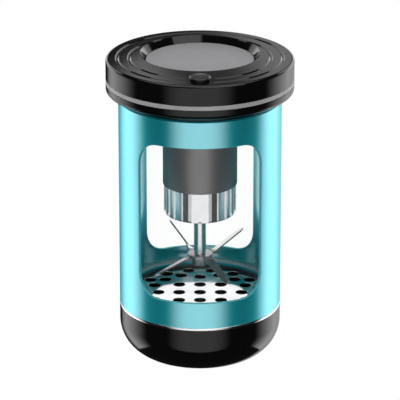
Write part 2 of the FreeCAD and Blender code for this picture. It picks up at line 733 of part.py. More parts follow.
def motor_can():
    """Deep-drawn can, closed below round the front bush's boss."""
    can = turned([
        (BUSH_R, MOTOR_BOSS_BOTTOM), (MOTOR_BOSS_R, MOTOR_BOSS_BOTTOM), (MOTOR_BOSS_R, NOSE_FLOOR),
        (CAN_R, NOSE_FLOOR), (CAN_R, CAN_TOP), (CAN_BORE, CAN_TOP), (CAN_BORE, CAN_FLOOR),
        (BUSH_R, CAN_FLOOR),
    ])
    for x in (-MOTOR_SCREW_RADIUS, MOTOR_SCREW_RADIUS):
        can = can.cut(rod(SCREW_R, NOSE_FLOOR - PAST, MOTOR_SCREW_END, x))
    return can


def brush_boxes():
    length, width, height = BRUSH
    start = COMMUTATOR[0] + BRUSH_GAP
    right = block(start, start + length, -width / 2, width / 2, BRUSH_Z, BRUSH_Z + height)
    left = right.copy()
    left.rotate(vec(0, 0, 0), UP, 180)
    return [right, left]


def motor_end_cap():
    """Plastic cap with the rear bush and the two brush holders."""
    near, far, half_width, low = HOLDER
    cap = rod(CAN_R, CAN_TOP, END_CAP_TOP).fuse(rod(CAN_BORE, END_CAP_PLUG, CAN_TOP))
    for side in (-1, 1):
        x0, x1 = sorted((side * near, side * far))
        cap = cap.fuse(block(x0, x1, -half_width, half_width, low, END_CAP_PLUG))
    cap = cap.cut(rod(BUSH_R, END_CAP_PLUG - PAST, END_CAP_TOP + PAST))
    for brush in brush_boxes():
        cap = cap.cut(brush)
    return cap.removeSplitter()


def motor_magnets():
    inner, outer, low, high = MAGNET
    solids = []
    for middle in (90, 270):
        start = middle - MAGNET_ARC / 2
        arc = Part.makeCylinder(outer, high - low, vec(0, 0, low), UP, MAGNET_ARC)
        arc.rotate(vec(0, 0, 0), UP, start)
        solids.append(arc.cut(rod(inner, low - PAST, high + PAST)))
    return Part.makeCompound(solids)


def motor_bush(low, high):
    return tube(MOTOR_SHAFT_R + RUNNING, BUSH_R, low, high)


def motor_screws():
    spots = [(-MOTOR_SCREW_RADIUS, 0), (MOTOR_SCREW_RADIUS, 0)]
    return screws(spots, NOSE_BOTTOM - SCREW_HEAD, MOTOR_SCREW_END)


# ---- spindle -------------------------------------------------------------------------------
def armature_core():
    """Three-pole lamination stack."""
    radius, low, high = ARMATURE
    core = rod(radius, low, high)
    for angle in (0, 120, 240):
        slot = block(ARMATURE_CORE, radius + PAST, -ARMATURE_SLOT / 2, ARMATURE_SLOT / 2,
                     low - PAST, high + PAST)
        slot.rotate(vec(0, 0, 0), UP, angle)
        core = core.cut(slot)
    return core.cut(rod(MOTOR_SHAFT_R, low - PAST, high + PAST))


def armature_windings():
    inner, outer = WINDING
    return Part.makeCompound([tube(inner, outer, *WINDING_LOW), tube(inner, outer, *WINDING_HIGH)])


def commutator():
    radius, low, high = COMMUTATOR
    return tube(MOTOR_SHAFT_R, radius, low, high)


def motor_shaft():
    return rod(MOTOR_SHAFT_R, *MOTOR_SHAFT)


def coupling_screws():
    """Two radial grub screws, one on each shaft."""
    radius, low, high = COUPLING
    solids = []
    for shaft_r, z in ((MOTOR_SHAFT_R, high - SET_SCREW_INSET), (SHAFT_R, low + SET_SCREW_INSET)):
        screw = Part.makeCylinder(SET_SCREW_R, radius, vec(0, 0, z), vec(1, 0, 0))
        screw = screw.cut(rod(shaft_r, low - PAST, high + PAST)).common(rod(radius, low, high))
        solids.append(screw)
    return Part.makeCompound(solids)


def shaft_coupling():
    radius, low, high = COUPLING
    body = rod(radius, low, high)
    body = body.cut(rod(SHAFT_R, low - PAST, SHAFT_TOP))
    body = body.cut(rod(MOTOR_SHAFT_R, low, high + PAST))
    return body.cut(coupling_screws())


def drive_shaft():
    return rod(SHAFT_R, SHAFT_SHOULDER, SHAFT_TOP).fuse(
        rod(STUD_R, STUD_BOTTOM, SHAFT_SHOULDER)).removeSplitter()


def arm_section(radius, height, roll, width):
    """Rectangle across an arm that points along +X, turned by roll about the arm."""
    c = math.cos(math.radians(roll))
    s = math.sin(math.radians(roll))
    half_w = width / 2
    half_t = BLADE_THICK / 2
    corners = []
    for across, through in ((1, 1), (-1, 1), (-1, -1), (1, -1)):
        y = across * half_w * c - through * half_t * s
        z = across * half_w * s + through * half_t * c
        corners.append(vec(radius, y, height + z))
    return Part.makePolygon(corners + corners[:1])


def blade_arm(azimuth, root_z, tip_z, roll):
    """Arm that leaves the hub flat, then bends and rolls on its way to a narrower tip."""
    slope = (tip_z - root_z) / (BLADE_REACH - BLADE_BEND_R)
    rolled_z = root_z + slope * (BLADE_ROLLED_R - BLADE_BEND_R)
    sections = [
        arm_section(BLADE_ROOT_R, root_z, 0, BLADE_WIDTH),
        arm_section(BLADE_BEND_R, root_z, 0, BLADE_WIDTH),
        arm_section(BLADE_ROLLED_R, rolled_z, roll, BLADE_WIDTH),
        arm_section(BLADE_REACH, tip_z, roll, BLADE_TIP_WIDTH),
    ]
    arm = Part.makeLoft(sections, True, True)
    arm.rotate(vec(0, 0, 0), UP, azimuth)
    return arm


def blade(arms, top):
    middle = top - BLADE_THICK / 2
    strip = rod(BLADE_HUB_R, top - BLADE_THICK, top)
    for azimuth, tip_z, roll in arms:
        strip = strip.fuse(blade_arm(azimuth, middle, tip_z, roll))
    return strip.cut(rod(STUD_R, top - 2 * PAST, top + 2 * PAST))


def blade_washer():
    top = LOWER_BLADE_TOP - BLADE_THICK
    return tube(STUD_R, WASHER_R, top - WASHER_THICK, top)


def blade_nut():
    """Hexagon nut under the washer, on the shaft's thread."""
    top = LOWER_BLADE_TOP - BLADE_THICK - WASHER_THICK
    corner_r = NUT_FLATS_R / math.cos(math.pi / 6)
    points = [vec(*polar(corner_r, 60 * k), STUD_BOTTOM) for k in range(6)]
    outline = Part.makePolygon(points + points[:1])
    nut = Part.Face(outline).extrude(vec(0, 0, top - STUD_BOTTOM))
    return nut.cut(rod(STUD_R, STUD_BOTTOM - PAST, top + PAST))


# ---- all the pieces ------------------------------------------------------------------------
def all_parts():
    return {
        "base_cup": base_cup(),
        "base_ring": base_ring(),
        "base_seal": o_ring(*BASE_SEAL),
        "sieve_carrier": sieve_carrier(),
        "sieve_plate": sieve_plate(),
        "foot_pad": foot_pad(),
        "sleeve": sleeve(),
        "glass_chamber": glass_chamber(),
        "lower_gasket": lower_gasket(),
        "upper_gasket": upper_gasket(),
        "retaining_ring": retaining_ring(),
        "lid_shell": lid_shell(),
        "lid_trim_ring": lid_trim_ring(),
        "lid_skirt": lid_skirt(),
        "lid_seal": o_ring(*HEAD_SEAL),
        "label_disc": label_disc(),
        "lid_screws": lid_screws(),
        "circuit_board": circuit_board(),
        "battery_cell": battery_cell(),
        "battery_leads": battery_leads(),
        "charging_port": charging_port(),
        "charge_led": charge_led(),
        "tact_switch": tact_switch(),
        "switch_plunger": switch_plunger(),
        "return_dome": return_dome(),
        "power_button": power_button(),
        "motor_nose": motor_nose(),
        "nose_screws": nose_screws(),
        "ribbed_collar": ribbed_collar(),
        "shaft_seal": shaft_seal(),
        "shaft_bush": shaft_bush(),
        "motor_can": motor_can(),
        "motor_end_cap": motor_end_cap(),
        "motor_magnets": motor_magnets(),
        "motor_brushes": Part.makeCompound(brush_boxes()),
        "front_bush": motor_bush(MOTOR_BOSS_BOTTOM, CAN_FLOOR),
        "rear_bush": motor_bush(END_CAP_PLUG, END_CAP_TOP),
        "motor_screws": motor_screws(),
        "motor_leads": motor_leads(),
        "armature_core": armature_core(),
        "armature_windings": armature_windings(),
        "commutator": commutator(),
        "motor_shaft": motor_shaft(),
        "shaft_coupling": shaft_coupling(),
        "coupling_screws": coupling_screws(),
        "drive_shaft": drive_shaft(),
        "upper_blade": blade(UPPER_ARMS, UPPER_BLADE_TOP),
        "lower_blade": blade(LOWER_ARMS, LOWER_BLADE_TOP),
        "blade_washer": blade_washer(),
        "blade_nut": blade_nut(),
    }


def main():
    os.makedirs(OUT, exist_ok=True)
    for name, shape in all_parts().items():
        save(name, shape)
        valid = "valid" if shape.isValid() else "INVALID"
        print(f"{name:20s} {len(shape.Solids)} solid(s) {shape.Volume:10.2f} mm3 {valid}")


main()
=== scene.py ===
import math
import bmesh
import bpy
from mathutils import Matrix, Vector

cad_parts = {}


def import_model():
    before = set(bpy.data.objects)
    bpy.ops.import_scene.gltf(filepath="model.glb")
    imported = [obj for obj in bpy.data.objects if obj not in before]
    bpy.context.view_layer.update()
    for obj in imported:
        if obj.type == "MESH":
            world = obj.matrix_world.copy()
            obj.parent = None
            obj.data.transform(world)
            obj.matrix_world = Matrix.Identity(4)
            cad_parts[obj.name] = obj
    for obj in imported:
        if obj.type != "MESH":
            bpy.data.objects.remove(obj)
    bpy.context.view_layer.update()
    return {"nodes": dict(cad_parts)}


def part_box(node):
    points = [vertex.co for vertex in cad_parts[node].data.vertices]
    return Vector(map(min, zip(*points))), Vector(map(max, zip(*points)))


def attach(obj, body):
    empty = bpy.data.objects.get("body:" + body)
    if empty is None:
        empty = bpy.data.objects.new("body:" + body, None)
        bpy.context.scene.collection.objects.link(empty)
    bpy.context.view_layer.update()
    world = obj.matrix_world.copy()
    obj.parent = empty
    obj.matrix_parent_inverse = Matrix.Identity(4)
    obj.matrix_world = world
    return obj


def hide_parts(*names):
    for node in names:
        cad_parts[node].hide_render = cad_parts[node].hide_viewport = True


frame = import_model()

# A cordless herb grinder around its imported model. Metres, the same axes as the model: +Z up, and
# the front, with the button, is -Y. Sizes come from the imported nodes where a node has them.
MM = 0.001
TINY = 1e-7
AROUND = 256                   # faces round a turned piece

SLEEVE_LOW, SLEEVE_HIGH = (corner.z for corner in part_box("sleeve"))
SLEEVE_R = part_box("base_cup")[1].x
RING_LOW, RING_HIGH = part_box("base_ring")
GLASS_LOW, GLASS_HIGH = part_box("glass_chamber")
TRIM_LOW, TRIM_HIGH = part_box("lid_trim_ring")
LID_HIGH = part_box("lid_shell")[1]
LABEL_LOW, LABEL_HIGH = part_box("label_disc")
BUTTON_LOW, BUTTON_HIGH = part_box("power_button")
NOSE_LOW, NOSE_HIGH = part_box("motor_nose")
COLLAR_LOW, COLLAR_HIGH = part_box("ribbed_collar")
SHAFT_LOW, SHAFT_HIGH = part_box("drive_shaft")
SIEVE_LOW, SIEVE_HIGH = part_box("sieve_plate")

# Sleeve and windows.
SLEEVE_BORE = 28.9 * MM
SEAT_BORE = 28.0 * MM
LIP_R = 26.6 * MM
LIP_LOW = 23.9 * MM
LIP_HIGH = 24.7 * MM
GLASS_BORE = 27.2 * MM
SLEEVE_BEVEL = 0.5 * MM
EDGE_ROUND = 0.22 * MM         # rounding along the windows' edges
WINDOW_LOW = 30.65 * MM
WINDOW_HIGH = 90.15 * MM
FRONT_HALF = math.radians(47.9)
REAR_HALF = math.radians(43.8)
WINDOW_CORNER = 9.0 * MM
CORNER_STEPS = 14
SIDE_STEPS = 12
WALL_COLUMNS = 72
EDGE_COLUMNS = 44
ROUND_STEPS = 4
CUT_INDEX, INSIDE_INDEX = 1, 2  # the sleeve's materials after its first

# Cup.
CUP_FILLET = 13.6 * MM
CUP_FLOOR = 2.6 * MM
CUP_BORE = 24.9 * MM
CUP_INNER_FILLET = 11.0 * MM
CUP_LIFT = 0.25 * MM
FOOT_R, FOOT_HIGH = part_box("foot_pad")[1].x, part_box("foot_pad")[1].z
COLLAR_OUT = 27.7 * MM
COLLAR_TOP = 23.2 * MM
COLLAR_BORE = 26.4 * MM
COLLAR_FLOOR = 21.4 * MM
SEAL_GROOVE = (27.0 * MM, 21.0 * MM, 22.1 * MM)

# Ring that carries the sieve.
CARRIER_LOW, CARRIER_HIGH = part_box("sieve_carrier")
CARRIER_R = 26.2 * MM
CARRIER_FLANGE = 23.3 * MM
CARRIER_BORE = 25.45 * MM

# Sieve holes.
HOLE_R = 2.25 * MM
HOLE_GRID = 7.8 * MM
HOLE_RING = 18.6 * MM
HOLE_AXIS_RING = 15.6 * MM
HOLE_OUTER = 22.6 * MM
HOLE_COUNT = 16

# Head.
LID_FILLET = 1.2 * MM
LID_BORE = 32.6 * MM
LID_UNDER = 113.75 * MM
TONGUE_R = 32.5 * MM
TONGUE_BORE = 31.3 * MM
RECESS_R = 22.1 * MM
RECESS_FOOT_R = 20.15 * MM
RECESS_Y = 5.4 * MM
RECESS_FLOOR = LABEL_LOW.z
GROOVES = ((25.2 * MM, 26.6 * MM), (29.6 * MM, 31.0 * MM))
GROOVE_DEPTH = 0.35 * MM
GROOVE_SLOPE = 0.4 * MM
LAND_R = 5.6 * MM
BUTTON_Y = (BUTTON_LOW.y + BUTTON_HIGH.y) / 2
BUTTON_R = 3.9 * MM
BUTTON_HOLE = 4.05 * MM
BUTTON_RIM = BUTTON_HIGH.z - 0.6 * MM
BUTTON_FACE = BUTTON_HIGH.z - 0.08 * MM
BUTTON_STEM_R = 1.4 * MM
BUTTON_FLANGE_R = 4.8 * MM
BUTTON_FLANGE = (112.9 * MM, 113.7 * MM)
CONTACT = 0.03 * MM            # the drawn button stops this short of what it presses on
SKIRT_LOW = 102.15 * MM
SKIRT_EDGE = 104.2 * MM
SKIRT_FOOT_R = 31.3 * MM
FLARE_STEPS = 8
NECK_R = 29.3 * MM
SPIGOT_R = 26.6 * MM
SPIGOT_BORE = 24.8 * MM
HEAD_GROOVE = (25.4 * MM, 95.2 * MM, 97.2 * MM)
PLATE_TOP = 103.85 * MM
PLATE_HOLE = 9.0 * MM
PORT_STEPS = 24

# Nose and collar.
NOSE_R = 13.75 * MM
NOSE_BORE = 12.3 * MM
NOSE_END = 66.85 * MM
NOSE_FLOOR = 68.85 * MM
NOSE_FLANGE = 100.65 * MM
NOSE_SPIGOT_R = 11.6 * MM
NOSE_SPIGOT_BORE = 10.2 * MM
BOSS_R = 3.4 * MM
RIB_COUNT = 22
RIB_CREST = 13.4 * MM
RIB_ROOT = 12.8 * MM
RIB_HALF = 0.55 * MM
RIBBED_ROUND = 1.8 * MM
RIBBED_MARGIN = 0.1 * MM       # the rounded body stands this far outside the ribs
SHAFT_HOLE = 2.6 * MM

# Spindle.
SHAFT_R = 2.25 * MM
STUD_R = 1.5 * MM
SHOULDER = 38.85 * MM
BLADE_THICK = 0.6 * MM
BLADE_WIDTH = 3.0 * MM
BLADE_TIP = 2.2 * MM
BLADE_POINT = 1.1 * MM
POINT_WIDTH = 0.35             # share of the width that is left at an arm's end
BLADE_REACH = 19.7 * MM
BLADE_ROOT = 3.4 * MM
BLADE_BEND = 5.4 * MM
BLADE_ROLLED = 8.4 * MM
HUB_R = 4.7 * MM
UPPER_ARMS = ((125.0, 45.65 * MM, 52.0), (302.0, 33.45 * MM, 38.0))
LOWER_ARMS = ((36.0, 44.25 * MM, -12.0), (212.0, 33.85 * MM, 14.0))
UPPER_TOP = SHOULDER
LOWER_TOP = 38.2 * MM


# ---- mesh helpers ----------------------------------------------------------------------------
def rounded(corners, closed=True, steps=4):
    """Outline through corners (r, z, radius), each turned into an arc of that radius."""
    outline = []
    last = len(corners) - 1
    for k, (r, z, radius) in enumerate(corners):
        here = Vector((r, z))
        if radius < TINY or (not closed and k in (0, last)):
            outline.append((r, z))
            continue
        before = Vector(corners[k - 1][:2])
        after = Vector(corners[(k + 1) % len(corners)][:2])
        into = (here - before).normalized()
        out = (after - here).normalized()
        turn = into.angle(out)
        centre = here + (out - into).normalized() * (radius / math.cos(turn / 2))
        start = here - into * radius * math.tan(turn / 2) - centre
        end = here + out * radius * math.tan(turn / 2) - centre
        for j in range(steps + 1):
            share = j / steps
            spot = centre + (start * math.sin((1 - share) * turn) + end * math.sin(share * turn)) \
                / math.sin(turn)
            outline.append((spot.x, spot.y))
    return outline


def spin(radius, angle, z, centre=(0.0, 0.0)):
    """Point at an angle from the front, turning towards +X."""
    return (centre[0] + radius * math.sin(angle), centre[1] - radius * math.cos(angle), z)


def skin(bm, low, high):
    """Faces between two rings of vertices. A ring of one vertex is a pole."""
    if len(low) == 1 and len(high) == 1:
        return
    if len(low) == 1 or len(high) == 1:
        pole, ring = (low[0], high) if len(low) == 1 else (high[0], low)
        if abs(pole.co.z - ring[0].co.z) < TINY:
            bm.faces.new(ring)
            bm.verts.remove(pole)
            return
        for k, vert in enumerate(ring):
            bm.faces.new((pole, vert, ring[(k + 1) % len(ring)]))
        return
    for k, vert in enumerate(low):
        following = (k + 1) % len(low)
        bm.faces.new((vert, low[following], high[following], high[k]))


def paint(bm, before, index):
    """Give the faces made since there were that many another of the piece's materials."""
    bm.faces.ensure_lookup_table()
    for face in bm.faces[before:]:
        face.material_index = index


def lathe(outline, closed=True, centre=(0.0, 0.0), around=AROUND):
    """Mesh of an (r, z) outline turned about an upright axis."""
    bm = bmesh.new()
    rings = []
    for r, z in outline:
        angles = [0.0] if r < TINY else [2 * math.pi * k / around for k in range(around)]
        rings.append([bm.verts.new(spin(r, angle, z, centre)) for angle in angles])
    for low, high in zip(rings, rings[1:]):
        skin(bm, low, high)
    if closed:
        skin(bm, rings[-1], rings[0])
    bmesh.ops.recalc_face_normals(bm, faces=bm.faces)
    return bm


def new_object(name, bm):
    bmesh.ops.recalc_face_normals(bm, faces=bm.faces)
    mesh = bpy.data.meshes.new(name)
    bm.to_mesh(mesh)
    bm.free()
    obj = bpy.data.objects.new(name, mesh)
    bpy.context.scene.collection.objects.link(obj)
    return obj


def boolean(target, tool, operation="DIFFERENCE"):
    """Mesh of target cut by tool, or joined to it. Both are used up."""
    pair = [new_object("target", target), new_object("tool", tool)]
    modifier = pair[0].modifiers.new("boolean", "BOOLEAN")
    modifier.solver = "EXACT"
    modifier.operation = operation
    modifier.object = pair[1]
    bpy.context.view_layer.update()
    shape = pair[0].evaluated_get(bpy.context.evaluated_depsgraph_get())
    bm = bmesh.new()
    bm.from_mesh(shape.to_mesh())
    shape.to_mesh_clear()
    for obj in pair:
        mesh = obj.data
        bpy.data.objects.remove(obj)
        bpy.data.meshes.remove(mesh)
    bmesh.ops.remove_doubles(bm, verts=bm.verts, dist=TINY)
    return bm


def piece(name, bm, material, body, nodes, bevel=0.0, sharp=38.0):
    """Shaded object for the given nodes, with its edges rounded where bevel says."""
    obj = new_object(name, bm)
    mesh = obj.data
    mesh.materials.append(material)
    mesh.polygons.foreach_set("use_smooth", [True] * len(mesh.polygons))
    mesh.set_sharp_from_angle(angle=math.radians(sharp))
    if bevel:
        round_edges = obj.modifiers.new("edges", "BEVEL")
        round_edges.width = bevel
        round_edges.segments = 2
        round_edges.limit_method = "ANGLE"
        round_edges.angle_limit = math.radians(sharp)
    weighted = obj.modifiers.new("normals", "WEIGHTED_NORMAL")
    weighted.keep_sharp = not bevel
    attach(obj, body)
    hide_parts(*nodes)
    return obj


# ---- materials -------------------------------------------------------------------------------
PLASTIC_RELIEF = 0.0004 * MM
METAL_RELIEF = 0.0008 * MM


class Surface:
    """A Principled material with its texture nodes in the object's own metres."""

    def __init__(self, name, roughness, **settings):
        self.material = bpy.data.materials.new(name)
        self.material.use_nodes = True
        self.tree = self.material.node_tree
        self.shader = self.tree.nodes["Principled BSDF"]
        self.shader.inputs["Roughness"].default_value = roughness
        for key, value in settings.items():
            self.shader.inputs[key.replace("_", " ")].default_value = value
        self.coordinates = self.tree.nodes.new("ShaderNodeTexCoord")

    def node(self, kind, **inputs):
        made = self.tree.nodes.new(kind)
        for key, value in inputs.items():
            made.inputs[key.replace("_", " ")].default_value = value
        return made

    def link(self, out, into):
        self.tree.links.new(out, into)

    def noise(self, scale, detail=4.0, stretch=(1.0, 1.0, 1.0)):
        """Noise with features of 1/scale metres, stretched along the axes."""
        mapping = self.node("ShaderNodeMapping", Scale=stretch)
        noise = self.node("ShaderNodeTexNoise", Scale=scale, Detail=detail)
        self.link(self.coordinates.outputs["Object"], mapping.inputs["Vector"])
        self.link(mapping.outputs["Vector"], noise.inputs["Vector"])
        return noise.outputs["Fac"]

    def tint(self, value, low, high):
        """Base colour that wanders between two colours."""
        ramp = self.node("ShaderNodeValToRGB")
        ends = ramp.color_ramp.elements
        for end, position, colour in ((ends[0], 0.35, low), (ends[1], 0.65, high)):
            end.position = position
            end.color = (*colour, 1)
        self.link(value, ramp.inputs["Fac"])
        self.link(ramp.outputs["Color"], self.shader.inputs["Base Color"])
        return self

    def gloss(self, value, low, high):
        """Roughness that wanders between two values."""
        spread = self.node("ShaderNodeMapRange", From_Min=0.3, From_Max=0.7, To_Min=low, To_Max=high)
        self.link(value, spread.inputs["Value"])
        self.link(spread.outputs["Result"], self.shader.inputs["Roughness"])
        return self

    def clear_skin(self, head_on, grazing):
        """Coat whose weight runs from one value where it faces the eye to another at its edge."""
        weight = self.node("ShaderNodeMapRange", To_Min=head_on, To_Max=grazing)
        self.link(self.node("ShaderNodeLayerWeight").outputs["Facing"], weight.inputs["Value"])
        self.link(weight.outputs["Result"], self.shader.inputs["Coat Weight"])
        return self

    def relief(self, value, depth):
        """Bump of the given depth in metres."""
        bump = self.node("ShaderNodeBump", Distance=depth, Strength=1.0)
        self.link(value, bump.inputs["Height"])
        self.link(bump.outputs["Normal"], self.shader.inputs["Normal"])
        return self


def shade(colour, factor):
    return tuple(channel * factor for channel in colour)


def moulded(name, colour, roughness, **settings):
    """Moulded plastic: a faint mottle, and an orange-peel skin."""
    made = Surface(name, roughness, **settings)
    made.tint(made.noise(90), shade(colour, 0.97), shade(colour, 1.03))
    made.gloss(made.noise(350), roughness * 0.92, roughness * 1.1)
    made.relief(made.noise(900, 2.0), PLASTIC_RELIEF)
    return made.material


def metal(name, colour, roughness, stretch=(1.0, 1.0, 1.0), **settings):
    """Bare metal with a fine grain, drawn out along one way by stretch."""
    settings.setdefault("Metallic", 1.0)
    made = Surface(name, roughness, **settings)
    made.tint(made.noise(120), shade(colour, 0.94), shade(colour, 1.04))
    grain = made.noise(1600, 3.0, stretch)
    made.gloss(grain, roughness * 0.75, roughness * 1.3)
    made.relief(grain, METAL_RELIEF)
    return made.material


def turquoise():
    """Anodised metal: a deep, soft colour under a bright, smoother clear skin."""
    made = Surface("turquoise_anodised", 0.36, Metallic=0.62, Coat_IOR=3.1, Coat_Roughness=0.15)
    made.clear_skin(0.95, 0.12)
    made.tint(made.noise(60), (0.002, 0.67, 0.80), (0.002, 0.71, 0.84))
    made.gloss(made.noise(45), 0.34, 0.38)
    return made.material


def inside_skin():
    """Anodised inside of the tube, a little glossier than its outside."""
    made = Surface("turquoise_inside", 0.3, Metallic=0.45, Coat_Weight=0.9, Coat_IOR=3.0,
                   Coat_Roughness=0.1)
    made.tint(made.noise(60), (0.01, 0.50, 0.56), (0.012, 0.54, 0.60))
    made.gloss(made.noise(120), 0.28, 0.34)
    return made.material


def machined_edge():
    """Paler, more open skin where the windows were milled through the anodised tube."""
    made = Surface("turquoise_cut_edge", 0.4, Metallic=0.1)
    made.tint(made.noise(60), (0.12, 0.66, 0.74), (0.14, 0.70, 0.78))
    made.gloss(made.noise(300), 0.38, 0.44)
    return made.material


def thin_glass():
    """Clear glass that keeps what is behind it sharp and bright, with a mirror sheen at its edges."""
    made = Surface("chamber_glass", 0.02, Metallic=1.0)
    made.tint(made.noise(40), (0.90, 0.98, 0.97), (0.96, 1.0, 0.99))
    clear = made.node("ShaderNodeBsdfTransparent")
    clear.inputs["Color"].default_value = (0.998, 1.0, 0.9995, 1)
    fresnel = made.node("ShaderNodeFresnel", IOR=1.12)
    blend = made.node("ShaderNodeMixShader")
    made.link(fresnel.outputs["Fac"], blend.inputs["Fac"])
    made.link(clear.outputs["BSDF"], blend.inputs[1])
    made.link(made.shader.outputs["BSDF"], blend.inputs[2])
    made.link(blend.outputs["Shader"], made.tree.nodes["Material Output"].inputs["Surface"])
    return made.material


def spun(name, colour, roughness, **settings):
    """Metal or plastic turned on a lathe: fine rings, and a sheen that runs out from the centre."""
    made = Surface(name, roughness, Anisotropic=0.75, **settings)
    tangent = made.node("ShaderNodeTangent")
    tangent.direction_type = "RADIAL"
    tangent.axis = "Z"
    made.link(tangent.outputs["Tangent"], made.shader.inputs["Tangent"])
    made.tint(made.noise(150), shade(colour, 0.9), shade(colour, 1.08))
    return made.material


BLACK = moulded("gloss_black", (0.005, 0.005, 0.0052), 0.085, Specular_IOR_Level=0.36)
SATIN_BLACK = moulded("satin_black", (0.016, 0.016, 0.016), 0.34)
RUBBER = moulded("rubber", (0.02, 0.02, 0.02), 0.65)
SILICONE = moulded("silicone", (0.62, 0.66, 0.66), 0.4, Subsurface_Weight=0.1)
NYLON = moulded("natural_nylon", (0.7, 0.69, 0.64), 0.5)
BLACK_NYLON = moulded("black_nylon", (0.02, 0.02, 0.02), 0.5)
TURQUOISE = turquoise()
INSIDE = inside_skin()
CUT_EDGE = machined_edge()
GLASS = thin_glass()
CHROME = metal("chrome", (0.86, 0.87, 0.88), 0.06)
SATIN_CHROME = metal("satin_chrome", (0.82, 0.83, 0.84), 0.17, Metallic=0.9)
STEEL = metal("ground_steel", (0.5, 0.49, 0.49), 0.28, (1, 1, 8))
MIRROR = metal("polished_plate", (0.84, 0.85, 0.86), 0.07)
BAND = moulded("satin_band", (0.6, 0.6, 0.605), 0.6, Metallic=0.15, Specular_IOR_Level=0.2)
LABEL = moulded("label_satin", (0.42, 0.41, 0.425), 0.45, Metallic=0.25)
NOSE_GREY = moulded("nose_satin", (0.26, 0.252, 0.26), 0.38, Metallic=0.5)
BUTTON = spun("button_spun", (0.035, 0.035, 0.036), 0.3, Metallic=0.85)
ZINC = metal("zinc_plate", (0.55, 0.56, 0.6), 0.3)
BRONZE = metal("bronze", (0.55, 0.38, 0.17), 0.4)
COPPER = metal("copper_wire", (0.72, 0.33, 0.17), 0.35, (1, 1, 6))
FERRITE = moulded("ferrite", (0.05, 0.05, 0.055), 0.7)
CARBON = moulded("carbon", (0.03, 0.03, 0.03), 0.6)
BOARD = moulded("board_green", (0.01, 0.13, 0.04), 0.35)
FOIL = metal("cell_foil", (0.6, 0.6, 0.63), 0.35)
LEAD_RED = moulded("lead_red", (0.45, 0.015, 0.015), 0.4)
LEAD_BLACK = moulded("lead_black", (0.015, 0.015, 0.015), 0.4)
LED = moulded("led_lens", (0.85, 0.85, 0.8), 0.2)


# ---- chamber ---------------------------------------------------------------------------------
def window_side(offset, half):
    """Half of a window's outline from the bottom up, as (angle off its middle, height)."""
    reach = WINDOW_CORNER + offset
    centre = half - WINDOW_CORNER / SLEEVE_R
    low = WINDOW_LOW + WINDOW_CORNER
    high = WINDOW_HIGH - WINDOW_CORNER
    side = []
    for base, level in ((-90, low), (0, high)):
        for k in range(CORNER_STEPS + 1):
            turn = math.radians(base + 90 * k / CORNER_STEPS)
            side.append((centre + reach * math.cos(turn) / SLEEVE_R, level + reach * math.sin(turn)))
        if level == low:
            widest = side[-1][0]
            side += [(widest, low + (high - low) * k / SIDE_STEPS) for k in range(1, SIDE_STEPS)]
    return side


def window_loop(offset, middle, half):
    """Whole outline of the window at an angle, as (angle, height): up, across, down and back."""
    side = window_side(offset, half)
    start = side[0][0]
    across = [start * (2 * k / EDGE_COLUMNS - 1) for k in range(1, EDGE_COLUMNS)]
    loop = [(-angle, z) for angle, z in side]
    loop += [(angle, side[-1][1]) for angle in across]
    loop += list(reversed(side))
    loop += [(angle, side[0][1]) for angle in reversed(across)]
    return [(middle + angle, z) for angle, z in loop]


def level_ring(bm, ring, radius, z):
    """Copy of a ring of vertices at another radius and height."""
    made = []
    for vert in ring:
        flat = vert.co.xy.normalized() * radius
        made.append(bm.verts.new((flat.x, flat.y, z)))
    return made


def wall_sheet(bm, radius, offset, low, high):
    """One face of the sleeve's wall, with both windows left out: its end rings and its loops."""
    front, rear = window_side(offset, FRONT_HALF), window_side(offset, REAR_HALF)
    walls = []
    for turn, near, far in ((0.0, front, rear), (math.pi, rear, front)):
        rows = []
        for (angle, z), (end, _) in zip(near, far):
            span = math.pi - angle - end
            rows.append([bm.verts.new(spin(radius, turn + angle + span * k / WALL_COLUMNS, z))
                         for k in range(WALL_COLUMNS + 1)])
        for lower, upper in zip(rows, rows[1:]):
            for k in range(WALL_COLUMNS):
                bm.faces.new((lower[k], lower[k + 1], upper[k + 1], upper[k]))
        walls.append(rows)
    edges = {}
    rings = []
    for row in (0, -1):
        ring = []
        for w, side in enumerate((rear, front)):
            middle = math.pi * (w + 1)
            start, z = side[row]
            edges[w, row] = [
                bm.verts.new(spin(radius, middle + start * (2 * k / EDGE_COLUMNS - 1), z))
                for k in range(1, EDGE_COLUMNS)]
            ring += walls[w][row] + edges[w, row]
        rings.append(ring)
    low_ring = level_ring(bm, rings[0], radius, low)
    high_ring = level_ring(bm, rings[1], radius, high)
    skin(bm, low_ring, rings[0])
    skin(bm, rings[1], high_ring)
    loops = []
    for w in (0, 1):
        loop = [row[-1] for row in walls[w]] + edges[w, -1]
        loop += [row[0] for row in reversed(walls[1 - w])] + list(reversed(edges[w, 0]))
        loops.append(loop)
    return low_ring, high_ring, loops


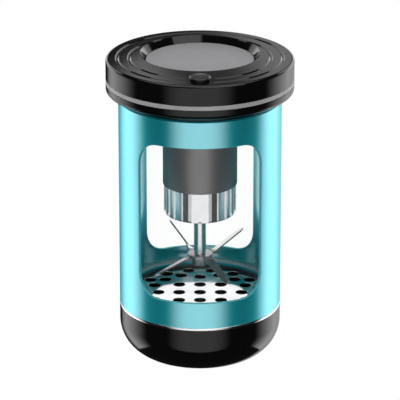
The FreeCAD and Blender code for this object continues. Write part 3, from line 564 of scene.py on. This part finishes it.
def sleeve():
    """Tube with two windows, rounded along every edge of their openings."""
    bm = bmesh.new()
    top = SLEEVE_HIGH
    outer = wall_sheet(bm, SLEEVE_R, EDGE_ROUND, SLEEVE_LOW, top - SLEEVE_BEVEL)
    before = len(bm.faces)
    inner = wall_sheet(bm, SLEEVE_BORE, EDGE_ROUND, LIP_HIGH, top)
    paint(bm, before, INSIDE_INDEX)
    for w, (middle, half) in enumerate(((math.pi, REAR_HALF), (2 * math.pi, FRONT_HALF))):
        rings = [outer[2][w]]
        for face_r, sign in ((SLEEVE_R, -1), (SLEEVE_BORE, 1)):
            arcs = []
            for k in range(1, ROUND_STEPS + 1):
                turn = math.radians(90 * k / ROUND_STEPS)
                radius = face_r + sign * EDGE_ROUND * (1 - math.cos(turn))
                offset = EDGE_ROUND * (1 - math.sin(turn))
                arcs.append([bm.verts.new(spin(radius, angle, z))
                             for angle, z in window_loop(offset, middle, half)])
            rings += arcs if sign < 0 else list(reversed(arcs))
        rings.append(inner[2][w])
        before = len(bm.faces)
        for near, far in zip(rings, rings[1:]):
            skin(bm, near, far)
        paint(bm, before, CUT_INDEX)
    under = [(LIP_R, LIP_HIGH), (LIP_R, LIP_LOW), (SEAT_BORE, LIP_LOW), (SEAT_BORE, SLEEVE_LOW)]
    rings = [inner[0]] + [level_ring(bm, inner[0], r, z) for r, z in under] + [outer[0]]
    for near, far in zip(rings, rings[1:]):
        skin(bm, near, far)
    rim = level_ring(bm, outer[1], SLEEVE_R - SLEEVE_BEVEL, top)
    skin(bm, outer[1], rim)
    skin(bm, rim, inner[1])
    made = piece("windowed_sleeve", bm, TURQUOISE, "chamber", ["sleeve"],
                 sharp=28)
    made.data.materials.append(CUT_EDGE)
    made.data.materials.append(INSIDE)
    return made


def glass():
    low, high = GLASS_LOW.z, GLASS_HIGH.z
    out = GLASS_HIGH.x
    edge = 0.4 * MM
    outline = rounded([(GLASS_BORE, low, edge), (out, low, edge), (out, high, edge),
                       (GLASS_BORE, high, edge)])
    made = piece("glass_tube", lathe(outline), GLASS, "chamber", ["glass_chamber"])
    made.visible_diffuse = False
    made.visible_glossy = False
    made.visible_shadow = False
    return made


# ---- base ------------------------------------------------------------------------------------
def cup():
    groove_r, groove_low, groove_high = SEAL_GROOVE
    ease = 0.15 * MM
    foot_corner = 0.6 * MM
    lip = 0.25 * MM
    outline = rounded([
        (0, FOOT_HIGH, 0), (FOOT_R, FOOT_HIGH, 0), (FOOT_R, CUP_LIFT, foot_corner / 3),
        (SLEEVE_R, CUP_LIFT, CUP_FILLET), (SLEEVE_R, RING_LOW.z, ease),
        (COLLAR_OUT, RING_LOW.z, 0), (COLLAR_OUT, groove_low, 0), (groove_r, groove_low, 0),
        (groove_r, groove_high, 0), (COLLAR_OUT, groove_high, 0), (COLLAR_OUT, COLLAR_TOP, lip),
        (COLLAR_BORE, COLLAR_TOP, lip), (COLLAR_BORE, COLLAR_FLOOR, 0), (CUP_BORE, COLLAR_FLOOR, ease),
        (CUP_BORE, CUP_FLOOR, CUP_INNER_FILLET), (0, CUP_FLOOR, 0),
    ], closed=False, steps=20)
    return piece("collecting_cup", lathe(outline, closed=False), BLACK, "base",
                 ["base_cup"])


def bright_ring():
    low, high = RING_LOW.z, RING_HIGH.z
    ease = 0.18 * MM
    outline = rounded([(COLLAR_OUT, low, 0), (RING_HIGH.x, low, ease), (RING_HIGH.x, high, ease),
                       (COLLAR_OUT, high, 0)])
    return piece("base_bright_ring", lathe(outline), CHROME, "base", ["base_ring"])


def foot():
    ease = 0.3 * MM
    outline = rounded([(0, 0, 0), (FOOT_R, 0, ease), (FOOT_R, FOOT_HIGH, ease), (0, FOOT_HIGH, 0)],
                      closed=False)
    return piece("rubber_foot", lathe(outline, closed=False), RUBBER, "base",
                 ["foot_pad"])


def hole_spots():
    """A middle grid of nine, a ring of sixteen around it, and sixteen staggered outside."""
    steps = (-1, 0, 1)
    spots = [(HOLE_GRID * i, HOLE_GRID * j) for i in steps for j in steps]
    for k in range(HOLE_COUNT):
        on_axis = k % (HOLE_COUNT // 4) == 0
        angle = 2 * math.pi * k / HOLE_COUNT
        half = math.pi / HOLE_COUNT
        spots.append(spin(HOLE_AXIS_RING if on_axis else HOLE_RING, angle, 0)[:2])
        spots.append(spin(HOLE_OUTER, angle + half, 0)[:2])
    return spots


def sieve():
    low, high = SIEVE_LOW.z, SIEVE_HIGH.z
    plate = lathe([(0, low), (SIEVE_HIGH.x, low), (SIEVE_HIGH.x, high), (0, high)], closed=False)
    tools = bmesh.new()
    for spot in hole_spots():
        hole = lathe([(0, low - MM), (HOLE_R, low - MM), (HOLE_R, high + MM), (0, high + MM)],
                     closed=False, centre=spot, around=40)
        mesh = bpy.data.meshes.new("hole")
        hole.to_mesh(mesh)
        hole.free()
        tools.from_mesh(mesh)
        bpy.data.meshes.remove(mesh)
    return piece("sieve", boolean(plate, tools), MIRROR, "chamber", ["sieve_plate"],
                 bevel=0.09 * MM)


def sieve_ring():
    """Ring under the sleeve's lip, with the ledge that the sieve lies on."""
    ease = 0.12 * MM
    low, high = CARRIER_LOW.z, CARRIER_HIGH.z
    flange_r = CARRIER_HIGH.x
    outline = rounded([
        (CUP_BORE, low, ease), (CARRIER_R, low, ease), (CARRIER_R, CARRIER_FLANGE, 0),
        (flange_r, CARRIER_FLANGE, ease), (flange_r, high, 0), (CARRIER_BORE, high, ease),
        (CARRIER_BORE, SIEVE_LOW.z, 0), (CUP_BORE, SIEVE_LOW.z, 0)])
    return piece("sieve_ring", lathe(outline), SATIN_BLACK, "chamber",
                 ["sieve_carrier"])


# ---- head ------------------------------------------------------------------------------------
def lid():
    """Shell with an off-centre bowl for the label and two turned grooves in its flat top."""
    high = LID_HIGH.z
    out = LID_HIGH.x
    body = lathe(rounded([
        (0, LID_UNDER, 0), (LID_BORE, LID_UNDER, 0), (LID_BORE, TRIM_HIGH.z + MM, 0),
        (TONGUE_BORE, TRIM_HIGH.z, 0), (TONGUE_BORE, TRIM_LOW.z, 0), (TONGUE_R, TRIM_LOW.z, 0),
        (TONGUE_R, TRIM_HIGH.z, 0), (out, TRIM_HIGH.z, 0.15 * MM), (out, high, LID_FILLET),
        (0, high, 0)], closed=False, steps=8), closed=False)
    pan = lathe([(0, RECESS_FLOOR - MM), (RECESS_R + MM, RECESS_FLOOR - MM),
                 (RECESS_R + MM, LID_UNDER + MM / 2), (0, LID_UNDER + MM / 2)],
                closed=False, centre=(0.0, RECESS_Y))
    body = boolean(body, pan, "UNION")
    bowl = [(0, RECESS_FLOOR), (RECESS_FOOT_R, RECESS_FLOOR), (RECESS_R, high),
            (RECESS_R, high + MM), (0, high + MM)]
    land = ((0, TRIM_HIGH.z), (LAND_R, TRIM_HIGH.z), (LAND_R, high + 2 * MM), (0, high + 2 * MM))
    for inner, outer in GROOVES:
        depth = high - GROOVE_DEPTH
        ring = lathe([(inner + GROOVE_SLOPE, depth), (outer - GROOVE_SLOPE, depth), (outer, high),
                      (outer, high + MM), (inner, high + MM), (inner, high)])
        ring = boolean(ring, lathe(list(land), closed=False, centre=(0.0, BUTTON_Y), around=96))
        body = boolean(body, ring)
    body = boolean(body, lathe(bowl, closed=False, centre=(0.0, RECESS_Y)))
    hole = lathe([(0, LID_UNDER - MM), (BUTTON_HOLE, LID_UNDER - MM), (BUTTON_HOLE, high + MM),
                  (0, high + MM)], closed=False, centre=(0.0, BUTTON_Y), around=96)
    body = boolean(boolean(body, hole), port_bar())
    return piece("lid_top", body, BLACK, "head", ["lid_shell"],
                 bevel=0.18 * MM, sharp=28)


def port_bar():
    """Round-ended bar that cuts the charging port's slot through the shell's rear wall."""
    low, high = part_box("charging_port")
    gap = 0.2 * MM
    radius = (high.z - low.z) / 2 + gap
    flat = high.x + gap - radius
    middle_z = (high.z + low.z) / 2
    bm = bmesh.new()
    rings = []
    for y in (low.y, LID_HIGH.y + MM):
        ring = []
        for side in (1, -1):
            for k in range(PORT_STEPS + 1):
                turn = math.radians(-90 + 180 * k / PORT_STEPS)
                ring.append(bm.verts.new((side * (flat + radius * math.cos(turn)), y,
                                          middle_z + side * radius * math.sin(turn))))
        rings.append(ring)
        bm.faces.new(ring)
    skin(bm, *rings)
    bmesh.ops.recalc_face_normals(bm, faces=bm.faces)
    return bm


def band():
    out = TRIM_HIGH.x
    ease = 0.2 * MM
    low, high = TRIM_LOW.z, TRIM_HIGH.z
    outline = rounded([(TONGUE_R, low, 0), (out, low, ease), (out, high, ease), (TONGUE_R, high, 0)])
    return piece("trim_band", lathe(outline), BAND, "head", ["lid_trim_ring"])


def skirt():
    """Flared lower half of the head, with the neck and the spigot that plugs into the glass."""
    groove_r, groove_low, groove_high = HEAD_GROOVE
    ease = 0.2 * MM
    spigot_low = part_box("lid_skirt")[0].z
    flare = [(SKIRT_FOOT_R, SKIRT_LOW, 0)]
    for k in range(1, FLARE_STEPS + 1):
        turn = math.radians(90 * k / FLARE_STEPS)
        flare.append((SKIRT_FOOT_R + (LID_HIGH.x - SKIRT_FOOT_R) * math.sin(turn),
                      SKIRT_LOW + (SKIRT_EDGE - SKIRT_LOW) * (1 - math.cos(turn)), 0))
    outline = rounded([
        (SPIGOT_BORE, spigot_low, ease), (SPIGOT_R, spigot_low, 2 * ease), (SPIGOT_R, groove_low, 0),
        (groove_r, groove_low, 0), (groove_r, groove_high, 0), (SPIGOT_R, groove_high, 0),
        (SPIGOT_R, SLEEVE_HIGH, 0), (NECK_R, SLEEVE_HIGH, ease), (NECK_R, SKIRT_LOW, 0)] + flare + [
        (LID_HIGH.x, TRIM_LOW.z, ease), (TONGUE_R, TRIM_LOW.z, 0), (TONGUE_R, TRIM_LOW.z - MM / 2, 0),
        (TONGUE_BORE, PLATE_TOP, 0), (PLATE_HOLE, PLATE_TOP, 0), (PLATE_HOLE, SKIRT_LOW, 0),
        (SPIGOT_BORE, SKIRT_LOW, 0)])
    return piece("head_skirt", lathe(outline), BLACK, "head", ["lid_skirt"])


def label():
    ease = 0.2 * MM
    low, high = LABEL_LOW.z, LABEL_HIGH.z
    outline = rounded([(0, low, 0), (LABEL_HIGH.x, low, 0), (LABEL_HIGH.x, high, ease), (0, high, 0)],
                      closed=False)
    bm = lathe(outline, closed=False, centre=(0.0, RECESS_Y))
    return piece("blank_label", bm, LABEL, "head", ["label_disc"])


def button():
    """Round button with a shallow cone turned in its face, a flange below and a stem."""
    low = BUTTON_LOW.z + CONTACT
    flange_low, flange_high = BUTTON_FLANGE[0] + CONTACT, BUTTON_FLANGE[1]
    outline = rounded([
        (0, low, 0), (BUTTON_STEM_R, low, 0), (BUTTON_STEM_R, flange_low, 0),
        (BUTTON_FLANGE_R, flange_low, 0), (BUTTON_FLANGE_R, flange_high, 0),
        (BUTTON_R, flange_high, 0), (BUTTON_R, BUTTON_RIM, 0.25 * MM),
        (BUTTON_R * 0.82, BUTTON_FACE, 0.5 * MM), (0.25 * MM, BUTTON_HIGH.z, 0),
        (0, BUTTON_HIGH.z, 0)], closed=False, steps=5)
    bm = lathe(outline, closed=False, centre=(0.0, BUTTON_Y), around=128)
    return piece("round_button", bm, BUTTON, "button", ["power_button"])


# ---- nose, collar and spindle ----------------------------------------------------------------
def nose():
    ease = 0.3 * MM
    low = NOSE_LOW.z
    outline = rounded([
        (BOSS_R, NOSE_END, 0), (NOSE_SPIGOT_BORE, NOSE_END, 0), (NOSE_SPIGOT_BORE, low, 0),
        (NOSE_SPIGOT_R, low, 0), (NOSE_SPIGOT_R, NOSE_END, 0), (NOSE_R, NOSE_END, ease),
        (NOSE_R, NOSE_FLANGE, ease), (NOSE_HIGH.x, NOSE_FLANGE, ease), (NOSE_HIGH.x, NOSE_HIGH.z, 0),
        (NOSE_BORE, NOSE_HIGH.z, 0), (NOSE_BORE, NOSE_FLOOR, 0), (BOSS_R, NOSE_FLOOR, 0)])
    return piece("motor_housing", lathe(outline), NOSE_GREY, "head", ["motor_nose"])


def collar():
    """Flat facets between narrow upright ribs, one rib at the front, on a hollow cap."""
    low, high = COLLAR_LOW.z, COLLAR_HIGH.z
    pitch = 2 * math.pi / RIB_COUNT
    half = math.asin(RIB_HALF / RIB_CREST)
    foot = RIB_HALF / RIB_ROOT
    outline = []
    for k in range(RIB_COUNT):
        middle = k * pitch
        outline += [(RIB_ROOT, middle - foot), (RIB_CREST, middle - half),
                    (RIB_CREST, middle + half), (RIB_ROOT, middle + foot)]
    bm = bmesh.new()
    rings = [[bm.verts.new(spin(r, angle, z)) for r, angle in outline] for z in (low - MM, high)]
    skin(bm, *rings)
    for ring in rings:
        bm.faces.new(ring)
    bmesh.ops.recalc_face_normals(bm, faces=bm.faces)
    turned_r = RIB_CREST + RIBBED_MARGIN
    body = rounded([(0, low, 0), (turned_r, low, RIBBED_ROUND), (turned_r, high + MM, 0),
                    (0, high + MM, 0)], closed=False, steps=8)
    bm = boolean(bm, lathe(body, closed=False), "INTERSECT")
    floor = low + 2 * MM
    inside = lathe([(0, floor), (NOSE_SPIGOT_R, floor), (NOSE_SPIGOT_R, high + MM), (0, high + MM)],
                   closed=False, around=96)
    bm = boolean(bm, inside)
    hole = lathe([(0, low - MM), (SHAFT_HOLE, low - MM), (SHAFT_HOLE, floor + MM),
                  (0, floor + MM)], closed=False, around=96)
    bm = boolean(bm, hole)
    return piece("ribbed_cap", bm, SATIN_CHROME, "head", ["ribbed_collar"],
                 bevel=0.12 * MM, sharp=25)


def shaft():
    low = SHAFT_LOW.z
    outline = rounded([
        (0, low, 0), (STUD_R, low, 0.3 * MM), (STUD_R, SHOULDER, 0), (SHAFT_R, SHOULDER, 0.2 * MM),
        (SHAFT_R, SHAFT_HIGH.z, 0.3 * MM), (0, SHAFT_HIGH.z, 0)], closed=False)
    return piece("blade_shaft", lathe(outline, closed=False, around=128), SATIN_CHROME, "spindle",
                 ["drive_shaft"])


def arm(azimuth, root_z, tip_z, roll):
    """Flat strip that leaves the hub level, bends and rolls over a short way, and ends in a point."""
    slope = (tip_z - root_z) / (BLADE_REACH - BLADE_BEND)
    ease = 1.2 * MM
    half_t = BLADE_THICK / 2
    nick = 0.12 * MM
    steps = 40
    bm = bmesh.new()
    rings = []
    for k in range(steps + 1):
        r = BLADE_ROOT + (BLADE_REACH - BLADE_ROOT) * k / steps
        past = r - BLADE_BEND
        if past <= -ease:
            rise = 0.0
        elif past < ease:
            rise = slope * (past + ease) ** 2 / (4 * ease)
        else:
            rise = slope * past
        share = min(max((r - BLADE_BEND + ease) / (BLADE_ROLLED - BLADE_BEND + ease), 0.0), 1.0)
        turn = math.radians(roll) * share * share * (3 - 2 * share)
        out = min(max((r - BLADE_ROLLED) / (BLADE_REACH - BLADE_ROLLED), 0.0), 1.0)
        half_w = (BLADE_WIDTH + (BLADE_TIP - BLADE_WIDTH) * out) / 2
        to_end = (BLADE_REACH - r) / BLADE_POINT
        if to_end < 1:
            half_w *= POINT_WIDTH + (1 - POINT_WIDTH) * to_end
        edge = min(nick, half_w / 3)
        ring = []
        for across, through in ((half_w - edge, half_t), (edge - half_w, half_t),
                                (-half_w, half_t - nick), (-half_w, nick - half_t),
                                (edge - half_w, -half_t), (half_w - edge, -half_t),
                                (half_w, nick - half_t), (half_w, half_t - nick)):
            y = across * math.cos(turn) - through * math.sin(turn)
            z = across * math.sin(turn) + through * math.cos(turn)
            direction = math.radians(azimuth)
            ring.append(bm.verts.new((r * math.cos(direction) - y * math.sin(direction),
                                      r * math.sin(direction) + y * math.cos(direction),
                                      root_z + rise + z)))
        rings.append(ring)
    for near, far in zip(rings, rings[1:]):
        skin(bm, near, far)
    bm.faces.new(rings[0])
    bm.faces.new(rings[-1])
    bmesh.ops.recalc_face_normals(bm, faces=bm.faces)
    return bm


def blade(name, node, arms, top):
    """Stamped strip: a round hub with one arm bent up and one bent down."""
    low = top - BLADE_THICK
    ease = 0.12 * MM
    hub = lathe(rounded([(STUD_R, low, 0), (HUB_R, low, ease), (HUB_R, top, ease),
                         (STUD_R, top, 0)]), around=128)
    for azimuth, tip_z, roll in arms:
        hub = boolean(hub, arm(azimuth, top - BLADE_THICK / 2, tip_z, roll), "UNION")
    return piece(name, hub, STEEL, "spindle", [node], sharp=30)


def washer():
    low, high = (corner.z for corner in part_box("blade_washer"))
    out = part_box("blade_washer")[1].x
    ease = 0.12 * MM
    outline = rounded([(STUD_R, low, 0), (out, low, ease), (out, high, ease), (STUD_R, high, 0)])
    return piece("washer", lathe(outline, around=96), STEEL, "spindle",
                 ["blade_washer"])


def nut():
    low, high = (corner.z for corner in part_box("blade_nut"))
    corner_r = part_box("blade_nut")[1].x
    bm = bmesh.new()
    rings = [[bm.verts.new(spin(corner_r, math.pi / 2 + math.pi * k / 3, z)) for k in range(6)]
             for z in (low, high)]
    skin(bm, *rings)
    for ring in rings:
        bm.faces.new(ring)
    bmesh.ops.recalc_face_normals(bm, faces=bm.faces)
    hole = lathe([(0, low - MM), (STUD_R, low - MM), (STUD_R, high + MM), (0, high + MM)],
                 closed=False, around=64)
    return piece("hex_nut", boolean(bm, hole), STEEL, "spindle", ["blade_nut"],
                 bevel=0.15 * MM, sharp=30)


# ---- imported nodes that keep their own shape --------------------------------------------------
NODE_MATERIALS = {
    "base_seal": RUBBER, "lower_gasket": SILICONE, "upper_gasket": SILICONE,
    "retaining_ring": SATIN_BLACK, "lid_seal": RUBBER, "lid_screws": ZINC, "circuit_board": BOARD,
    "battery_cell": FOIL, "battery_leads": LEAD_RED, "charging_port": ZINC, "charge_led": LED,
    "tact_switch": BLACK_NYLON, "return_dome": RUBBER, "nose_screws": ZINC, "shaft_seal": RUBBER,
    "shaft_bush": BRONZE, "motor_can": ZINC, "motor_end_cap": NYLON, "motor_magnets": FERRITE,
    "motor_brushes": CARBON, "front_bush": BRONZE, "rear_bush": BRONZE, "motor_screws": ZINC,
    "motor_leads": LEAD_BLACK, "armature_core": ZINC, "armature_windings": COPPER,
    "commutator": COPPER, "motor_shaft": STEEL, "shaft_coupling": BRONZE, "coupling_screws": ZINC,
    "switch_plunger": NYLON,
}


def dress_nodes():
    for node, material in NODE_MATERIALS.items():
        obj = frame["nodes"][node]
        for part in obj.material_slots:
            part.link = "OBJECT"
            part.material = material


# ---- studio ----------------------------------------------------------------------------------
CAMERA_Y = -1.040
CAMERA_Z = 0.44375
CAMERA_DIP = math.radians(20.26)
LENS = 269.1
TARGET = Vector((0, 0, 0.06))   # what the high front light points at
# The panel that the lid's flat top mirrors: bright on both sides of a dark middle.
LID_LEVELS = ((0.0, 0.4), (0.29, 1.0), (0.45, 0.15), (0.55, 0.15), (0.69, 1.0), (0.75, 0.45),
              (1.0, 0.4))


def camera():
    data = bpy.data.cameras.new("camera")
    data.lens = LENS
    data.sensor_width = 36
    data.clip_start = 0.01
    data.clip_end = 100
    obj = bpy.data.objects.new("camera", data)
    obj.location = (0, CAMERA_Y, CAMERA_Z)
    obj.rotation_euler = (math.pi / 2 - CAMERA_DIP, 0, 0)
    bpy.context.scene.collection.objects.link(obj)
    bpy.context.scene.camera = obj


def bell(full):
    """Levels of a panel whose middle share is even and that fades from there to its two ends."""
    return (0.0, 0.0), (0.5 - full / 2, 1.0), (0.5 + full / 2, 1.0), (1.0, 0.0)


def softbox(name, azimuth, distance, low, high, width, radiance, levels=(), tilt=0.0):
    """Upright panel at an azimuth from the front, turning towards +X.

    Levels are (share of the width, brightness) stops from one end to the other.
    """
    data = bpy.data.lights.new(name, "AREA")
    data.shape = "RECTANGLE"
    data.size = width
    data.size_y = high - low
    data.energy = radiance * math.pi * width * (high - low)
    if levels:
        data.use_nodes = True
        tree = data.node_tree
        across = tree.nodes.new("ShaderNodeNewGeometry")
        split = tree.nodes.new("ShaderNodeSeparateXYZ")
        fade = tree.nodes.new("ShaderNodeValToRGB")
        fade.color_ramp.interpolation = "EASE"
        stops = fade.color_ramp.elements
        for position, level in levels[1:-1]:
            stops.new(position).color = (level, level, level, 1)
        for end, (_, level) in ((stops[0], levels[0]), (stops[-1], levels[-1])):
            end.color = (level, level, level, 1)
        tree.links.new(across.outputs["Parametric"], split.inputs["Vector"])
        tree.links.new(split.outputs["X"], fade.inputs["Fac"])
        tree.links.new(fade.outputs["Color"], tree.nodes["Emission"].inputs["Color"])
    obj = bpy.data.objects.new(name, data)
    obj.location = spin(distance, math.radians(azimuth), (low + high) / 2)
    flat = Vector((0, 0, obj.location.z)) - obj.location
    obj.rotation_euler = flat.to_track_quat("-Z", "Y").to_euler()
    obj.rotation_euler.rotate_axis("Z", math.radians(tilt))
    obj.visible_camera = False
    bpy.context.scene.collection.objects.link(obj)
    return obj


def lights():
    softbox("front", -1.5, 1.5, -1.5, 0.75, 3.3, 1.05, bell(0.26))
    softbox("left", -119.0, 1.5, -1.5, 0.42, 2.3, 1.9, bell(0.1))
    softbox("right", 122.0, 1.5, -1.5, 0.42, 2.3, 2.0, bell(0.1))
    softbox("rear_right", 162.0, 1.5, -1.5, -0.1, 0.9, 0.6, bell(0.6))
    softbox("behind_left", -142.0, 1.5, 0.06, 1.2, 1.3, 1.5, bell(0.6))
    softbox("behind_right", 142.0, 1.5, 0.06, 1.2, 1.3, 1.7, bell(0.6))
    softbox("behind_sieve", 180.0, 0.3, 0.07, 0.18, 0.3, 1.1)
    softbox("behind_lid", 177.8, 0.3, 0.193, 0.273, 0.15, 0.72, LID_LEVELS, tilt=28.6)
    high_front = softbox("high_front", 32.0, 1.0, 0.95, 1.45, 1.3, 2.0)
    high_front.rotation_euler = (TARGET - high_front.location).to_track_quat("-Z", "Y").to_euler()
    high_front.visible_diffuse = False
    overhead = softbox("overhead", 0.0, 0.0, 0.0, 1.2, 1.2, 1.8)
    overhead.location = (0, 0, 1.1)
    overhead.rotation_euler = (0, 0, 0)


def world():
    """Dim room around the object, which the camera sees as white, like the floor."""
    made = bpy.data.worlds.new("room")
    made.use_nodes = True
    tree = made.node_tree
    room = tree.nodes["Background"]
    room.inputs["Color"].default_value = (0.014, 0.014, 0.014, 1)
    pale = tree.nodes.new("ShaderNodeBackground")
    pale.inputs["Color"].default_value = (1, 1, 1, 1)
    path = tree.nodes.new("ShaderNodeLightPath")
    blend = tree.nodes.new("ShaderNodeMixShader")
    tree.links.new(path.outputs["Is Camera Ray"], blend.inputs["Fac"])
    tree.links.new(room.outputs["Background"], blend.inputs[1])
    tree.links.new(pale.outputs["Background"], blend.inputs[2])
    tree.links.new(blend.outputs["Shader"], tree.nodes["World Output"].inputs["Surface"])
    bpy.context.scene.world = made


def floor():
    """Plain pale floor, bright enough to be white, that throws nothing back at the object."""
    bm = bmesh.new()
    bmesh.ops.create_grid(bm, x_segments=2, y_segments=2, size=20)
    obj = new_object("floor", bm)
    obj.location.z = -0.02 * MM
    made = bpy.data.materials.new("floor_white")
    made.use_nodes = True
    tree = made.node_tree
    tree.nodes.remove(tree.nodes["Principled BSDF"])
    glow = tree.nodes.new("ShaderNodeEmission")
    glow.inputs["Color"].default_value = (1, 1, 1, 1)
    tree.links.new(glow.outputs["Emission"], tree.nodes["Material Output"].inputs["Surface"])
    obj.data.materials.append(made)
    obj.visible_glossy = False
    obj.visible_diffuse = False
    obj.visible_shadow = False
    obj.visible_transmission = False


cup()
bright_ring()
foot()
sieve()
sieve_ring()
sleeve()
glass()
lid()
band()
skirt()
label()
button()
nose()
collar()
shaft()
blade("bent_blade_upper", "upper_blade", UPPER_ARMS, UPPER_TOP)
blade("bent_blade_lower", "lower_blade", LOWER_ARMS, LOWER_TOP)
washer()
nut()
dress_nodes()
camera()
lights()
world()
floor()
bpy.context.scene.view_settings.view_transform = "Standard"
